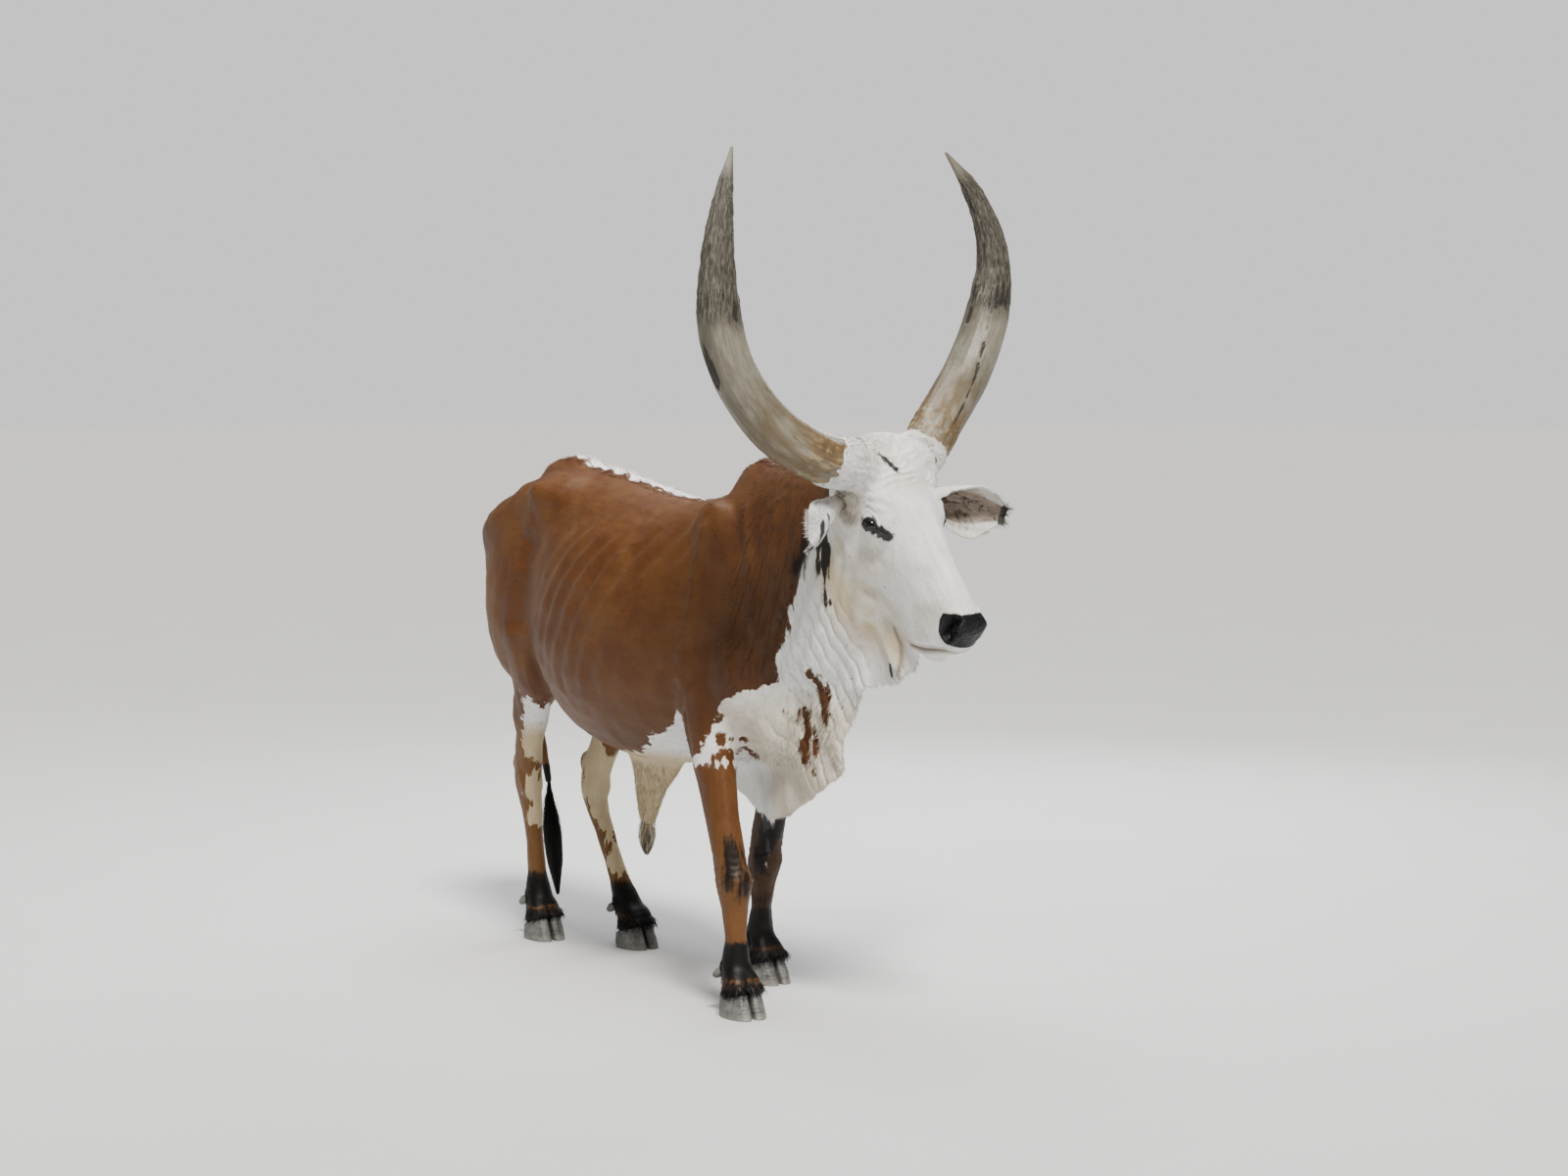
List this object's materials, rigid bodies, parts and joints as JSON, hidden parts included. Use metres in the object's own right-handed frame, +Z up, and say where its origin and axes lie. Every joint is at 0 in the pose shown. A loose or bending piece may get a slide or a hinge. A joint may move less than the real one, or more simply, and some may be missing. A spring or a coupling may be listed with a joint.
{
  "type": "zebu cattle, still life-size model",
  "caption": "Life-size still model of a standing zebu ox with long upswept horns, a small hump, a hanging dewlap and a tail switch.",
  "frame": {"origin": "on the floor, under the middle of the model's box", "axes": "the animal faces -Y, its left side is +X, +Z is up"},
  "size_m": [0.9676, 2.059, 2.0679],
  "materials": {
    "chestnut_coat": "short sleek hair",
    "white_coat": "short white hair with fine dark specks",
    "tan_coat": "short tan hair",
    "horn_sheath": "fibrous horn",
    "hoof_wall": "slate-grey hoof horn",
    "dark_hair": "long black hair",
    "eye_surface": "wet dark brown"
  },
  "bodies": {
    "root": {"dewlap": "white_coat", "ear_left": "white_coat", "ear_right": "white_coat", "eye_left": "eye_surface", "eye_right": "eye_surface", "foreleg_left_claw_inner": "hoof_wall", "foreleg_left_claw_outer": "hoof_wall", "foreleg_left_dewclaw_inner": "hoof_wall", "foreleg_left_dewclaw_outer": "hoof_wall", "foreleg_left_lower": "tan_coat", "foreleg_left_upper": "tan_coat", "foreleg_right_claw_inner": "hoof_wall", "foreleg_right_claw_outer": "hoof_wall", "foreleg_right_dewclaw_inner": "hoof_wall", "foreleg_right_dewclaw_outer": "hoof_wall", "foreleg_right_lower": "tan_coat", "foreleg_right_upper": "tan_coat", "head": "white_coat", "hindleg_left_claw_inner": "hoof_wall", "hindleg_left_claw_outer": "hoof_wall", "hindleg_left_dewclaw_inner": "hoof_wall", "hindleg_left_dewclaw_outer": "hoof_wall", "hindleg_left_lower": "tan_coat", "hindleg_left_upper": "tan_coat", "hindleg_right_claw_inner": "hoof_wall", "hindleg_right_claw_outer": "hoof_wall", "hindleg_right_dewclaw_inner": "hoof_wall", "hindleg_right_dewclaw_outer": "hoof_wall", "hindleg_right_lower": "tan_coat", "hindleg_right_upper": "tan_coat", "horn_left": "horn_sheath", "horn_right": "horn_sheath", "neck": "chestnut_coat", "sheath": "white_coat", "sheath_tuft": "dark_hair", "tail": "chestnut_coat", "tail_switch": "dark_hair", "torso": "chestnut_coat"}
  },
  "joints": []
}
